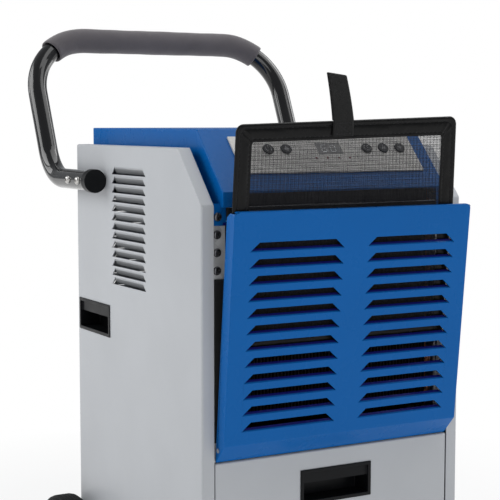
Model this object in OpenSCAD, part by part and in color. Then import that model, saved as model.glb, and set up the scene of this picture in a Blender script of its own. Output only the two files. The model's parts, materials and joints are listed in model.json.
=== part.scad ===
// Portable commercial dehumidifier: steel cabinet on two rear wheels, tilting
// front grille with a pull-out air filter, sliding water tank and tubular handle.
// Millimetres. X is the width, -Y is the front, Z is up, the floor is Z = 0.

/* [Cabinet] */
// Width over the two side panels
body_w = 345; // [320:1:380]
// Depth of the side panels
body_d = 345; // [320:1:380]
// Height of the side panels' top edge
panel_top = 600; // [560:1:640]
// Height of the cabinet's underside
panel_bottom = 48; // [40:1:60]
// Sheet thickness
sheet = 1.5; // [1:0.1:2]
// Width of the folded flange round each side panel
flange_w = 15.2; // [12:0.1:18]
// How far back the sloped front corner starts
slope_back = 55.8; // [45:0.1:65]
// How far down the sloped front corner ends
slope_drop = 61; // [50:0.1:70]

/* [Side louvres and hand recesses] */
// Louvres in each side panel
louvre_rows = 13; // [6:1:14]
// Height from one side louvre to the next
louvre_pitch = 11.1; // [10:0.1:14]
// Width of a side louvre at its long lower edge
louvre_w = 96; // [70:1:100]
// Width of a hand recess bezel
grip_w = 95.6; // [85:0.1:105]
// Height of a hand recess bezel
grip_h = 40.2; // [35:0.1:45]
// Depth of a hand recess
grip_depth = 28; // [20:1:32]

/* [Top cover and controls] */
// Width of the top cover
cover_w = 296; // [280:1:300]
// Height of the cover above the side panels
cover_rise = 20.6; // [15:0.1:30]
// Diameter of a push button
button_d = 13; // [10:0.5:15]
// Travel of a push button
button_travel = 1.5; // [0.5:0.1:2]
// Distance from one button to the next
button_pitch = 23.3; // [20:0.1:26]

/* [Front grille] */
// Width of the front grille
grille_w = 310.4; // [300:0.1:312]
// Height of the front grille
grille_h = 278.6; // [270:0.1:285]
// Depth of the front grille's folded sides
grille_d = 17.2; // [15:0.1:20]
// Lean of the opened grille from upright
grille_tilt = 5.65; // [0:0.05:8]
// Rows of louvres in the grille
slot_rows = 12; // [6:1:12]
// Height from one grille louvre to the next
slot_pitch = 18; // [16:0.1:18.2]

/* [Air filter] */
// Width of the air filter
filter_w = 290; // [270:1:291]
// Height of the air filter
filter_h = 254; // [240:1:256]
// Thickness of the air filter
filter_t = 5; // [4:0.1:5]
// How far the filter is drawn up out of its seat
filter_lift = 99.5; // [0:0.5:150]
// Width of the filter's fabric border
filter_border = 18.5; // [15:0.5:25]

/* [Handle] */
// Diameter of the handle tube
tube_d = 25; // [20:0.5:28]
// Diameter of the foam grip
foam_d = 33; // [28:0.5:38]
// Height of the handle bar above the side panels
bar_rise = 138.6; // [100:0.1:180]
// How far behind the cabinet the handle bar is
bar_back = 129; // [90:1:150]

/* [Wheels] */
// Diameter of the rear wheels
wheel_d = 150; // [120:1:160]
// Width of a tyre
wheel_w = 34; // [25:1:40]
// Diameter of the axle
axle_d = 16; // [12:0.5:18]

/* [Cooling unit] */
// Width of the two heat exchangers
coil_w = 270; // [240:1:270]
// Radius of the fan's blades
fan_r = 110; // [90:1:112]
// Blades on the fan
fan_blades = 5; // [3:1:7]
// Radius of the compressor's shell
compressor_r = 60; // [50:1:60]

/* [Hidden] */
$fn = 48;

half_w = body_w / 2;
inner_x = half_w - sheet;
// Depth values count back from the front face of the side panels' flanges.
foam_r = foam_d / 2;
tube_r = tube_d / 2;
bar_y = body_d + bar_back;
bar_z = panel_top + bar_rise;

// Grille frame: y and z from the grille's lower back edge, upright when closed.
hinge_z = panel_top - 341.8;
pin_y = -5;
pin_z = 15.2;
pin_r = 2.5;
grille_sheet = 1.2;
chamfer_h = 22.9;
filter_face = -9.7;
filter_seat = 20.5;
filter_x = -8;
strap_w = 27;
strap_x = -24;
strap_up = 50;
strap_t = 1.6;

// The strap's front top edge is the foremost point, the foam the rearmost.
strap_top_z = filter_seat + filter_lift + filter_h + strap_up - pin_z;
strap_front_y = filter_face - strap_t - pin_y;
front_extent = pin_y + strap_front_y * cos(grille_tilt) - strap_top_z * sin(grille_tilt);
rear_extent = bar_y + foam_r;
centre_y = (front_extent + rear_extent) / 2;

// Cover outline
nose_y = -3.8;
slope_top_y = 58.5;
cover_top = panel_top + cover_rise;
nose_z = panel_top - 46.5;
fascia_z = panel_top - 63;
cover_rear = body_d + 4;
slope_angle = atan2(cover_top - nose_z, slope_top_y - nose_y);

// Controls on the slope
plate_x = 6.4;
plate_w = 242.5;
plate_h = 54;
plate_t = 2;
plate_s = 40.6;
button_s = 33.5;
left_button_x = -70.5;
right_button_x = 61.8;
button_xs = [left_button_x, left_button_x + button_pitch, right_button_x,
    right_button_x + button_pitch, right_button_x + 2 * button_pitch];
display_x = 10.5;
led_pitch = 15;

// Inside
pan_z = panel_bottom + sheet;
shelf_z = 256.5;
evaporator_y = 16;
condenser_y = 58;
coil_t = 30;
coil_z = 292;
coil_top = 556;
shroud_y = 102;
fan_z = 425;
fan_y = 112;
compressor_x = 62;
compressor_y = 250;
tank_top = 257.6;
bin_top = 188;
axle_y = 326;
wheel_x = half_w + 8;

module place() { translate([0, -centre_y, 0]) children(); }

module both_sides() {
    children();
    mirror([1, 0, 0]) children();
}

// Draws a shape given in (depth, height), thickened along the width from x.
module side_plate(x, t) { translate([x, 0, 0]) rotate([90, 0, 90]) linear_extrude(t) children(); }

// Draws a shape given in (width, height), thickened backwards from y.
module front_plate(y, t) { translate([0, y + t, 0]) rotate([90, 0, 0]) linear_extrude(t) children(); }

// A cylinder along the depth.
module bar_along_y(r, y0, y1) { translate([0, y0, 0]) rotate([-90, 0, 0]) cylinder(h = y1 - y0, r = r); }

// A cylinder along the width.
module bar_along_x(r, x0, x1) { translate([x0, 0, 0]) rotate([0, 90, 0]) cylinder(h = x1 - x0, r = r); }

module trapezoid(bottom, top, h) {
    polygon([[-bottom / 2, 0], [bottom / 2, 0], [top / 2, h], [-top / 2, h]]);
}

module rounded_rect(w, h, r) {
    square([w - 2 * r, h], center = true);
    square([w, h - 2 * r], center = true);
    for (x = [-1, 1], y = [-1, 1]) translate([x * (w / 2 - r), y * (h / 2 - r)]) circle(r = r);
}

// A straight stretch of a bent tube, then whatever follows it.
module run(len, r, wall) {
    linear_extrude(len) tube_section(r, wall);
    translate([0, 0, len]) children();
}

// A bend of the tube towards the direction phi, then whatever follows it.
module turn(phi, bend_r, angle, r, wall) {
    rotate([0, 0, phi]) {
        translate([bend_r, 0, 0]) rotate([90, 0, 0]) rotate([0, 0, 180])
            rotate_extrude(angle = -angle) translate([bend_r, 0]) tube_section(r, wall);
        translate([bend_r * (1 - cos(angle)), 0, bend_r * sin(angle)]) rotate([0, angle, 0])
            rotate([0, 0, -phi]) children();
    }
}

module tube_section(r, wall) {
    difference() {
        circle(r = r);
        if (wall > 0) circle(r = r - wall);
    }
}

// ---------- Cabinet ----------

function panel_outline(inset) = [
    [inset, panel_bottom + inset],
    [body_d - inset, panel_bottom + inset],
    [body_d - inset, panel_top - inset],
    [slope_back + inset * tan(22.5), panel_top - inset],
    [inset, panel_top - slope_drop - inset * tan(22.5)]
];

louvre_y = 187.3;
louvre_top_w = louvre_w - 17;
louvre_h = 8.8;
louvre_z = panel_top - 34.7;
louvre_recess = 5.3;
grip_y = 291;
grip_z = panel_top - 215.5;
bolt_y = [277, 308];
handle_z = panel_top - 43.5;

module side_louvre() {
    swing = asin(louvre_recess / louvre_h);
    translate([sheet, 0, louvre_h]) rotate([0, -swing, 0]) translate([-sheet, 0, -louvre_h])
        side_plate(0, 1) trapezoid(louvre_w - 1, louvre_top_w - 1, louvre_h + 0.6);
}

module side_panel() {
    difference() {
        side_plate(-half_w, flange_w) polygon(panel_outline(0));
        side_plate(-inner_x, flange_w) polygon(panel_outline(sheet));
        for (i = [0 : louvre_rows - 1])
            translate([-half_w, louvre_y, louvre_z - i * louvre_pitch])
                side_plate(-5, 12) trapezoid(louvre_w, louvre_top_w, louvre_h);
        translate([-half_w - 5, grip_y, grip_z])
            rotate([90, 0, 90]) linear_extrude(12) square([grip_w - 4, grip_h - 4], center = true);
        for (y = bolt_y) translate([-half_w - 5, y, handle_z]) bar_along_x(3.2, 0, 12);
        translate([-half_w - 5, axle_y, wheel_d / 2]) bar_along_x(axle_d / 2 + 0.3, 0, 30);
        for (z = rear_screw_z) translate([-half_w + flange_w / 2, body_d - 5, z]) bar_along_y(2.1, 0, 12);
    }
    for (i = [0 : louvre_rows - 1])
        translate([-half_w + 0.2, louvre_y, louvre_z - i * louvre_pitch]) side_louvre();
}

module left_side_panel() { color("lightgray") place() side_panel(); }

module right_side_panel() { color("lightgray") place() mirror([1, 0, 0]) side_panel(); }

module base_pan() {
    pan_x = inner_x - 0.1;
    pan_front = 18;
    pan_rear = body_d - 2 * sheet - 0.5;
    wall_h = 20;
    color("silver") place() difference() {
        translate([-pan_x, pan_front, pan_z]) cube([2 * pan_x, pan_rear - pan_front, wall_h]);
        translate([-pan_x + sheet, pan_front + sheet, pan_z + sheet])
            cube([2 * (pan_x - sheet), pan_rear - pan_front - 2 * sheet, wall_h]);
        translate([-pan_x + sheet, pan_front - 1, pan_z + sheet])
            cube([2 * (pan_x - sheet), 3 * sheet, wall_h]);
        translate([0, axle_y, wheel_d / 2]) bar_along_x(axle_d / 2 + 0.3, -half_w, half_w);
    }
}

rear_screw_z = [80, 230, 380, 530];
rear_y = body_d - 2 * sheet;
exhaust_w = 118;
exhaust_rows = 14;
exhaust_pitch = 16;
spout_x = 110;
spout_z = 95;
gland_x = -110;
gland_z = 105;

module rear_panel() {
    color("lightgray") place() difference() {
        front_plate(rear_y, sheet) translate([-inner_x + 0.2, pan_z + 21])
            square([2 * inner_x - 0.4, panel_top - 13 - pan_z - 21]);
        for (i = [0 : exhaust_rows - 1], x = [-68, 68])
            front_plate(rear_y - 5, 12) translate([x, 320 + i * exhaust_pitch])
                trapezoid(exhaust_w, exhaust_w - 16, 9);
        for (x = [-1, 1], z = rear_screw_z)
            translate([x * (half_w - flange_w / 2), 0, z]) bar_along_y(2.1, rear_y - 5, rear_y + 5);
        translate([spout_x, 0, spout_z]) bar_along_y(9, rear_y - 5, rear_y + 5);
        translate([gland_x, 0, gland_z]) bar_along_y(9, rear_y - 5, rear_y + 5);
    }
    color("lightgray") place() for (i = [0 : exhaust_rows - 1], x = [-68, 68])
        translate([x, rear_y + 0.3, 320 + i * exhaust_pitch + 9]) rotate([-35, 0, 0])
            front_plate(0, 1) translate([0, -9]) trapezoid(exhaust_w - 1, exhaust_w - 17, 9.4);
}

// Rear screws through the side panels' flanges, front screws in the front frame
module panel_screws() {
    color("silver") place() both_sides() {
        for (z = rear_screw_z) translate([half_w - flange_w / 2, 0, z]) {
            bar_along_y(2, rear_y - 4, body_d);
            bar_along_y(4.2, body_d, body_d + 2);
        }
        for (z = frame_screw_z)
            translate([-frame_screw_x, frame_y - (z < 80 ? 1.5 : 0), panel_top - z])
                rotate([90, 0, 0]) rotate_extrude()
                    polygon([[0, -9], [2, -9], [2, 0], [4.9, 0], [4.7, 0.7], [3.6, 1.6], [0, 2.2]]);
    }
}

// ---------- Top cover and controls ----------

function cover_outline(inset) = [
    [nose_y + inset, fascia_z - 4 * inset],
    [nose_y + inset, nose_z - inset * tan(slope_angle / 2)],
    [slope_top_y + inset * tan(slope_angle / 2), cover_top - inset],
    [cover_rear - inset, cover_top - inset],
    [cover_rear - inset, lap_z - sheet - 4 * inset],
    [lap_line(sheet)[2][0] + 2 * inset, lap_z - sheet - 4 * inset],
    [lap_line(sheet)[1][0] + 2 * inset, ledge_z - sheet - 4 * inset],
    [lap_line(sheet)[1][0] + 2 * inset, fascia_z - 4 * inset]
];

// Puts a child on the cover's slope: s is the distance down from its top edge.
module on_slope(x, s) {
    translate([x, slope_top_y - s * cos(slope_angle), cover_top - s * sin(slope_angle)])
        rotate([slope_angle, 0, 0]) children();
}

// The cover's sides end in a lap that folds outwards under the side panels' flanges.
function lap_line(down) = [
    [tab_y, ledge_z - down],
    [lap_front + down * tan(slope_angle / 2), ledge_z - down],
    [lap_front + (lap_z - ledge_z) * slope_back / slope_drop + down * tan(slope_angle / 2), lap_z - down],
    [cover_rear - 5, lap_z - down]
];

lap_z = panel_top - 10;
ledge_z = fascia_z + 4;
lap_front = 19.3;
tab_w = 15;
tab_h = 24;
tab_y = 3.4;
frame_y = 5;
frame_x = 156;
frame_screw_x = 150.7;

module top_cover() {
    color("royalblue") place() {
        difference() {
            side_plate(-cover_w / 2, cover_w) polygon(cover_outline(0));
            side_plate(-cover_w / 2 + sheet, cover_w - 2 * sheet) polygon(cover_outline(sheet));
            translate([-cover_w / 2 + sheet + 12, nose_y - 5, fascia_z - 5])
                cube([cover_w - 2 * sheet - 24, 12, nose_z - fascia_z + 3]);
            on_slope(plate_x, plate_s) translate([0, 0, -5])
                linear_extrude(12) square([plate_w - 14, plate_h - 12], center = true);
        }
        both_sides() side_plate(-frame_x, frame_x - cover_w / 2 + sheet)
            polygon(concat(lap_line(0), [for (i = [3 : -1 : 0]) lap_line(sheet)[i]]));
        both_sides() difference() {
            translate([-frame_x + 0.5, tab_y + 0.1, ledge_z - tab_h]) cube([tab_w, 1.2, tab_h]);
            translate([-frame_screw_x, 0, panel_top - 73.4]) bar_along_y(2.2, 0, 8);
        }
    }
}

button_r = button_d / 2;

module control_plate() {
    color("gainsboro") place() on_slope(plate_x, plate_s) difference() {
        linear_extrude(plate_t) square([plate_w, plate_h], center = true);
        translate([display_x - plate_x, 8, -1]) linear_extrude(5) square([33.2, 17.7], center = true);
        for (x = button_xs) translate([x - plate_x, plate_s - button_s, -1])
            cylinder(h = 5, r = button_r + 0.3);
        for (i = [0 : 3]) translate([display_x - plate_x + (i - 1.5) * led_pitch, -6.4, -1])
            cylinder(h = 5, r = 1.6);
    }
}

module display_window() {
    color("black") place() on_slope(display_x, plate_s) translate([0, 8, 0.1])
        linear_extrude(1.7) square([33, 17.5], center = true);
}

module indicator_leds() {
    color("darkred") place() on_slope(display_x, plate_s)
        for (i = [0 : 3]) translate([(i - 1.5) * led_pitch, -6.4, 0]) cylinder(h = 2.2, r = 1.5);
}

module control_board() {
    board_n = -14;
    color("darkgreen") place() on_slope(plate_x, plate_s) {
        translate([0, 0, board_n]) linear_extrude(1.6) square([200, 40], center = true);
        for (x = [-96, 96], y = [-17, 17])
            translate([x, y, board_n + 1.6]) cylinder(h = -board_n - 1.6, r = 2.5);
        for (x = button_xs) translate([x - plate_x, plate_s - button_s, board_n + 1.6])
            linear_extrude(4) square(6, center = true);
    }
}

// A push button: it stands proud of the plate by a little more than its travel.
module button() {
    collar_h = 2.5;
    collar_gap = 0.2;
    translate([0, 0, -collar_gap]) cylinder(h = collar_gap + plate_t + button_travel + 0.3, r = button_r);
    translate([0, 0, -collar_gap - collar_h]) cylinder(h = collar_h, r = button_r + 1);
}

module numbered_button(i) { color("dimgray") place() on_slope(button_xs[i], button_s) button(); }

module power_button() { numbered_button(0); }

module mode_button() { numbered_button(1); }

module timer_button() { numbered_button(2); }

module up_button() { numbered_button(3); }

module down_button() { numbered_button(4); }

// ---------- Hand recesses ----------

// A black hand recess: bezel on z = 0 facing +z, its pocket below, y is up.
module recess_grip() {
    bezel_t = 1.2;
    wall = 2;
    lip_h = 12;
    difference() {
        union() {
            linear_extrude(bezel_t) square([grip_w, grip_h], center = true);
            translate([0, 0, -grip_depth]) linear_extrude(grip_depth)
                square([grip_w - 4.4, grip_h - 4.4], center = true);
        }
        translate([0, 0, -grip_depth + wall]) linear_extrude(grip_depth + 5)
            square([grip_w - 4.4 - 2 * wall, grip_h - 4.4 - 2 * wall], center = true);
    }
    translate([-(grip_w - 6) / 2, grip_h / 2 - 4 - lip_h, -4])
        cube([grip_w - 6, lip_h + 1, 2.5]);
}

module left_recess_grip() {
    color("black") place() translate([-half_w, grip_y, grip_z]) rotate([90, 0, -90]) recess_grip();
}

module right_recess_grip() {
    color("black") place() translate([half_w, grip_y, grip_z]) rotate([90, 0, 90]) recess_grip();
}

module tank_grip() {
    color("black") place() translate([0, 0, grip_top - grip_h / 2]) rotate([90, 0, 0]) recess_grip();
}

// ---------- Handle ----------

cap_r = 14.4;
stand_off = cap_r + 0.2 - tube_r;
handle_x = half_w + tube_r + stand_off;
tube_wall = 1.5;
corner_r = 80;
knee_r = 60;
knee_y = 391;
lean = atan2(bar_y - knee_y, bar_z - handle_z);
knee_turn = 90 - lean;
leg_len = (bar_z - handle_z) / cos(lean) - corner_r - knee_r * tan(knee_turn / 2);
cap_y = 251;
cap_t = 11;
cap_plug = 10;
forward_len = knee_y - knee_r * tan(knee_turn / 2) - cap_y - cap_t;

// Starts at the middle of the bar, heading left, with local x pointing down the leg.
module from_bar_centre() {
    translate([0, bar_y, bar_z]) rotate([-lean, 0, 0]) rotate([0, -90, 0]) rotate([0, 0, 180]) children();
}

module handle_tube() {
    color("black") place() difference() {
        both_sides() from_bar_centre() run(handle_x - corner_r, tube_r, tube_wall)
            turn(0, corner_r, 90, tube_r, tube_wall) run(leg_len, tube_r, tube_wall)
            turn(90, knee_r, knee_turn, tube_r, tube_wall) run(forward_len, tube_r, tube_wall);
        both_sides() for (y = bolt_y)
            translate([0, y, handle_z]) bar_along_x(3.1, -half_w - 2 * tube_r - 5, -half_w);
    }
}

module handle_foam() {
    foam_turn = 39;
    color("dimgray") place() both_sides() from_bar_centre()
        run(handle_x - corner_r, foam_r, foam_r - tube_r)
            turn(0, corner_r, foam_turn, foam_r, foam_r - tube_r) {}
}

module handle_end_caps() {
    color("black") place() both_sides() translate([-handle_x, 0, handle_z]) {
        bar_along_y(cap_r, cap_y, cap_y + cap_t);
        bar_along_y(tube_r - tube_wall, cap_y + cap_t, cap_y + cap_t + cap_plug);
    }
}

// Domed bolts through the tube, each with a spacer outside the panel and a nut inside it
module handle_bolts() {
    seat = 2 * tube_r + stand_off;
    color("silver") place() both_sides() for (y = bolt_y) translate([-half_w, y, handle_z]) {
        translate([-seat, 0, 0]) rotate([0, -90, 0]) rotate_extrude()
            polygon([[0, -seat - sheet - 6], [3, -seat - sheet - 6], [3, 0], [5, 0], [5, 1],
                [4, 2.4], [2.5, 3.1], [0, 3.4]]);
        bar_along_x(6, -stand_off, 0);
        translate([sheet, 0, 0]) rotate([0, 90, 0]) cylinder(h = 5, r = 5.8, $fn = 6);
    }
}

// ---------- Front frame and cooling unit ----------

frame_screw_z = [73.4, 92.7, 112.1, 131.6, 300];

module front_frame() {
    window_x = frame_x - tab_w;
    rail = 16;
    low = shelf_z + sheet;
    ear_r = 3.7;
    color("gainsboro") place() difference() {
        union() {
            difference() {
                front_plate(frame_y, sheet) translate([-frame_x, low]) square([2 * frame_x, fascia_z - low]);
                front_plate(frame_y - 1, 5) translate([-window_x, low + rail])
                    square([2 * window_x, fascia_z - low - 2 * rail]);
            }
            both_sides() translate([-frame_x, frame_y, low]) cube([sheet, 14, fascia_z - low - 6]);
            both_sides() translate([-144, pin_y, hinge_z + pin_z]) bar_along_x(ear_r, 0, 3);
            both_sides() translate([-144, pin_y, hinge_z + pin_z - 2.5]) cube([3, frame_y - pin_y + 0.5, 5]);
        }
        both_sides() translate([-150, pin_y, hinge_z + pin_z]) bar_along_x(pin_r, 0, 20);
        both_sides() for (z = frame_screw_z)
            translate([-frame_screw_x, 0, panel_top - z]) bar_along_y(2.2, 0, 10);
    }
}

module hinge_pins() {
    color("silver") place() both_sides()
        translate([0, pin_y, hinge_z + pin_z]) bar_along_x(pin_r, -grille_w / 2 - 0.8, -139);
}

// A finned block: plates across the width with grooves on its front and back.
module fin_block(y0) {
    fin_pitch = 4.5;
    groove = 2.4;
    n = floor(coil_w / fin_pitch);
    difference() {
        translate([-coil_w / 2, y0, coil_z]) cube([coil_w, coil_t, coil_top - coil_z]);
        for (i = [0 : n - 1], y = [y0 - 1, y0 + coil_t - 4])
            translate([-coil_w / 2 + (i + 0.5) * fin_pitch - groove / 2, y, coil_z - 1])
                cube([groove, 5, coil_top - coil_z + 2]);
    }
}

// The return bends of a coil at both ends of its fins, and the end plates.
module coil_ends(y0) {
    bend_r = 9;
    copper_r = 3.6;
    both_sides() {
        translate([-coil_w / 2 - 1.5, y0, coil_z]) cube([1.5, coil_t, coil_top - coil_z]);
        for (i = [0 : 6], y = [y0 + 8, y0 + 22])
            translate([-coil_w / 2 - 1.5, y, coil_z + 20 + i * 36]) rotate([90, 0, 0]) rotate([0, 0, 90])
                rotate_extrude(angle = 180) translate([bend_r, 0]) circle(r = copper_r);
    }
}

module evaporator_fins() { color("silver") place() fin_block(evaporator_y); }

module evaporator_tubes() { color("peru") place() coil_ends(evaporator_y); }

module condenser_fins() { color("silver") place() fin_block(condenser_y); }

module condenser_tubes() { color("peru") place() coil_ends(condenser_y); }

drip_z = shelf_z + sheet;
hose_x = -95;
hose_y = 86;
hose_r = 9;

// A shallow tray with an outlet, and the four posts that the two coils stand on
module drip_tray() {
    wall = 2;
    tray_x = 138;
    tray_front = 8;
    tray_d = 91;
    tray_h = 24;
    color("dimgray") place() difference() {
        translate([-tray_x, tray_front, drip_z]) cube([2 * tray_x, tray_d, tray_h]);
        translate([-tray_x + wall, tray_front + wall, drip_z + wall])
            cube([2 * (tray_x - wall), tray_d - 2 * wall, tray_h]);
        translate([hose_x, hose_y, drip_z - 1]) cylinder(h = 5, r = hose_r - 2);
    }
    color("dimgray") place() both_sides() for (y = [evaporator_y, condenser_y])
        translate([-120, y, drip_z + wall]) cube([10, coil_t, coil_z - drip_z - wall]);
}

module drain_hose() {
    color("gray") place() translate([hose_x, hose_y, bin_top + 16])
        linear_extrude(drip_z - bin_top - 16) difference() {
            circle(r = hose_r);
            circle(r = hose_r - 2);
        }
}

module shelf() {
    color("silver") place() difference() {
        translate([-inner_x + 0.2, 17, shelf_z]) cube([2 * inner_x - 0.4, rear_y - 17.2, sheet]);
        translate([hose_x, hose_y, shelf_z - 1]) cylinder(h = 5, r = hose_r + 0.3);
        for (x = [hot_line[0], suction_line[0]])
            translate([x, compressor_y, shelf_z - 1]) cylinder(h = 5, r = 6);
    }
}

module bulkhead() {
    color("silver") place() translate([-inner_x + 2, 172, pan_z + sheet])
        cube([2 * inner_x - 4, sheet, shelf_z - pan_z - sheet]);
}

ring_r = fan_r + 7;

module fan_shroud() {
    color("dimgray") place() difference() {
        union() {
            translate([-168, shroud_y, drip_z]) cube([336, sheet, panel_top - 15 - drip_z]);
            translate([0, 0, fan_z]) bar_along_y(ring_r + 1.5, shroud_y, shroud_y + 34);
        }
        translate([0, 0, fan_z]) bar_along_y(ring_r, shroud_y - 5, shroud_y + 40);
        for (p = [hot_line, suction_line, liquid_line])
            translate([p[0], 0, p[1]]) bar_along_y(6, shroud_y - 5, shroud_y + 10);
    }
}

shaft_r = 4;
hub_len = 22;
motor_y = fan_y + hub_len + 8;
motor_len = 54;

module fan_motor() {
    color("dimgray") place() translate([0, 0, fan_z]) difference() {
        union() {
            bar_along_y(42, motor_y, motor_y + motor_len);
            bar_along_y(14, motor_y - 4, motor_y + 1);
            bar_along_y(20, motor_y + motor_len - 1, motor_y + motor_len + 6);
        }
        bar_along_y(shaft_r + 0.05, motor_y - 5, motor_y + 20);
    }
}

module motor_bracket() {
    arm_w = 14;
    arm_t = 3;
    reach = ring_r + 10;
    color("silver") place() translate([0, 0, fan_z]) {
        difference() {
            bar_along_y(46, motor_y + 8, motor_y + 24);
            bar_along_y(42, motor_y + 7, motor_y + 25);
        }
        for (a = [45 : 90 : 315]) rotate([0, a, 0]) {
            translate([45, motor_y + 12, -arm_w / 2]) cube([reach - 45, arm_t, arm_w]);
            translate([reach - arm_t, shroud_y + sheet, -arm_w / 2])
                cube([arm_t, motor_y + 12 + arm_t - shroud_y - sheet, arm_w]);
        }
    }
}

module fan_rotor() {
    hub_r = 30;
    blade_t = 2;
    blade_pitch = 32;
    color("black") place() translate([0, 0, fan_z]) {
        difference() {
            bar_along_y(hub_r, fan_y, fan_y + hub_len);
            bar_along_y(hub_r - 3, fan_y + 3, fan_y + hub_len + 1);
        }
        difference() {
            bar_along_y(9, fan_y + 1, fan_y + hub_len);
            bar_along_y(shaft_r, fan_y + 3, fan_y + hub_len + 1);
        }
        intersection() {
            bar_along_y(fan_r, fan_y, fan_y + hub_len);
            for (i = [0 : fan_blades - 1]) rotate([0, i * 360 / fan_blades, 0])
                translate([hub_r - 1.5, fan_y + hub_len / 2, 0]) rotate([blade_pitch, 0, 0])
                    translate([0, -blade_t / 2, -34]) cube([fan_r, blade_t, 68]);
        }
    }
}

module motor_shaft() {
    color("silver") place() translate([0, 0, fan_z]) bar_along_y(shaft_r, fan_y + 3, motor_y + 16);
}

// ---------- Compressor compartment ----------

mount_h = 16;
mount_x = 46;
// Where each copper line crosses the shroud, as [x, z], and their common riser depth
hot_line = [104, 350];
suction_line = [20, 287];
liquid_line = [-125, 300];
line_r = 4;
line_bend = 20;
drier_front = 160;
drier_len = 96;
compressor_top = 232;
riser_z = 230.4;

module compressor() {
    low = pan_z + sheet + mount_h;
    top = compressor_top;
    color("black") place() translate([compressor_x, compressor_y, 0]) {
        rotate_extrude() polygon([[0, low + 3], [compressor_r - 14, low + 3], [compressor_r - 4, low + 9],
            [compressor_r, low + 18], [compressor_r, top - 18], [compressor_r - 4, top - 8],
            [compressor_r - 16, top - 2], [0, top]]);
        difference() {
            translate([-56, -56, low]) cube([112, 112, 3]);
            for (x = [-1, 1], y = [-1, 1])
                translate([x * mount_x, y * mount_x, low - 1]) cylinder(h = 5, r = 4.2);
        }
        translate([-12, -12, top - 2]) cube([24, 24, 14]);
    }
}

module compressor_mounts() {
    color("dimgray") place() translate([compressor_x, compressor_y, pan_z + sheet])
        for (x = [-1, 1], y = [-1, 1]) translate([x * mount_x, y * mount_x, 0]) {
            cylinder(h = mount_h, r = 11);
            cylinder(h = mount_h + 3, r = 4.2);
            translate([0, 0, mount_h + 3]) cylinder(h = 4, r = 8);
        }
}

module refrigerant_lines() {
    condenser_back = condenser_y + coil_t;
    suction_y = evaporator_y + coil_t + line_r;
    suction_bend = 10;
    color("peru") place() {
        // Hot gas: compressor up through the shelf and forward to the condenser
        translate([hot_line[0], compressor_y, riser_z])
            run(hot_line[1] - line_bend - riser_z, line_r, 0) turn(270, line_bend, 90, line_r, 0)
                run(compressor_y - line_bend - condenser_back, line_r, 0);
        // Suction: up, forward over the drip tray and up behind the evaporator
        translate([suction_line[0], compressor_y, riser_z])
            run(suction_line[1] - line_bend - riser_z, line_r, 0) turn(270, line_bend, 90, line_r, 0)
                run(compressor_y - line_bend - suction_bend - suction_y, line_r, 0)
                    turn(90, suction_bend, 90, line_r, 0) run(100, line_r, 0);
        // Liquid: condenser back to the filter drier
        translate([liquid_line[0], 0, liquid_line[1]]) bar_along_y(line_r, condenser_back, drier_front);
    }
}

module filter_drier() {
    drier_r = 16;
    color("peru") place() translate([liquid_line[0], drier_front, liquid_line[1]]) {
        bar_along_y(drier_r, 0, drier_len);
        translate([-6, 40, drip_z - liquid_line[1]]) cube([12, 15, liquid_line[1] - drip_z - drier_r + 1]);
    }
}

// The terminal box with its raised lid, and the run capacitor beside it
module electrics_box() {
    box_h = 150;
    color("lightgray") place() translate([0, 0, pan_z + sheet]) {
        translate([-160, 190, 0]) cube([90, 100, box_h]);
        translate([-150, 196, box_h]) cube([70, 60, 10]);
        translate([-45, 285, 0]) cylinder(h = 90, r = 17);
    }
}

module cable_gland() {
    color("black") place() translate([gland_x, 0, gland_z]) {
        bar_along_y(8.9, rear_y - 8, rear_y + sheet);
        translate([0, rear_y + sheet, 0]) rotate([-90, 0, 0]) cylinder(h = 6, r = 13, $fn = 6);
        difference() {
            bar_along_y(10, rear_y + sheet + 6, rear_y + sheet + 16);
            bar_along_y(4, rear_y + sheet + 7, rear_y + sheet + 20);
        }
    }
}

module drain_spout() {
    color("black") place() translate([spout_x, 0, spout_z]) difference() {
        union() {
            bar_along_y(8.9, rear_y - 12, rear_y + sheet);
            bar_along_y(14, rear_y + sheet, rear_y + sheet + 4);
            bar_along_y(8, rear_y + sheet + 4, rear_y + sheet + 26);
        }
        bar_along_y(5.5, rear_y - 15, rear_y + 40);
    }
}

// ---------- Wheels, axle and feet ----------

axle_end = wheel_x + wheel_w + 8;

module axle() {
    color("silver") place() translate([0, axle_y, wheel_d / 2])
        bar_along_x(axle_d / 2, -axle_end, axle_end);
}

module axle_clips() {
    color("dimgray") place() both_sides() translate([0, axle_y, wheel_d / 2]) {
        difference() {
            bar_along_x(12, wheel_x + wheel_w + 1, wheel_x + wheel_w + 4);
            bar_along_x(axle_d / 2, wheel_x, axle_end + 5);
        }
        difference() {
            bar_along_x(13, half_w + 0.1, wheel_x - 1);
            bar_along_x(axle_d / 2, half_w - 1, wheel_x);
        }
    }
}

rim_r = wheel_d / 2 - 17;

module wheel() {
    hub_r = 17;
    translate([0, axle_y, wheel_d / 2]) difference() {
        union() {
            bar_along_x(hub_r, wheel_x, wheel_x + wheel_w);
            difference() {
                bar_along_x(rim_r, wheel_x + 2, wheel_x + wheel_w - 2);
                bar_along_x(rim_r - 6, wheel_x + 1, wheel_x + wheel_w);
            }
            for (i = [0 : 4]) rotate([i * 72, 0, 0])
                translate([wheel_x + 8, -6, hub_r - 2]) cube([wheel_w - 16, 12, rim_r - hub_r - 1]);
            bar_along_x(rim_r - 3, wheel_x + wheel_w / 2 - 2, wheel_x + wheel_w / 2 + 2);
        }
        bar_along_x(axle_d / 2 + 0.05, wheel_x - 1, wheel_x + wheel_w + 1);
    }
}

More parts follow.
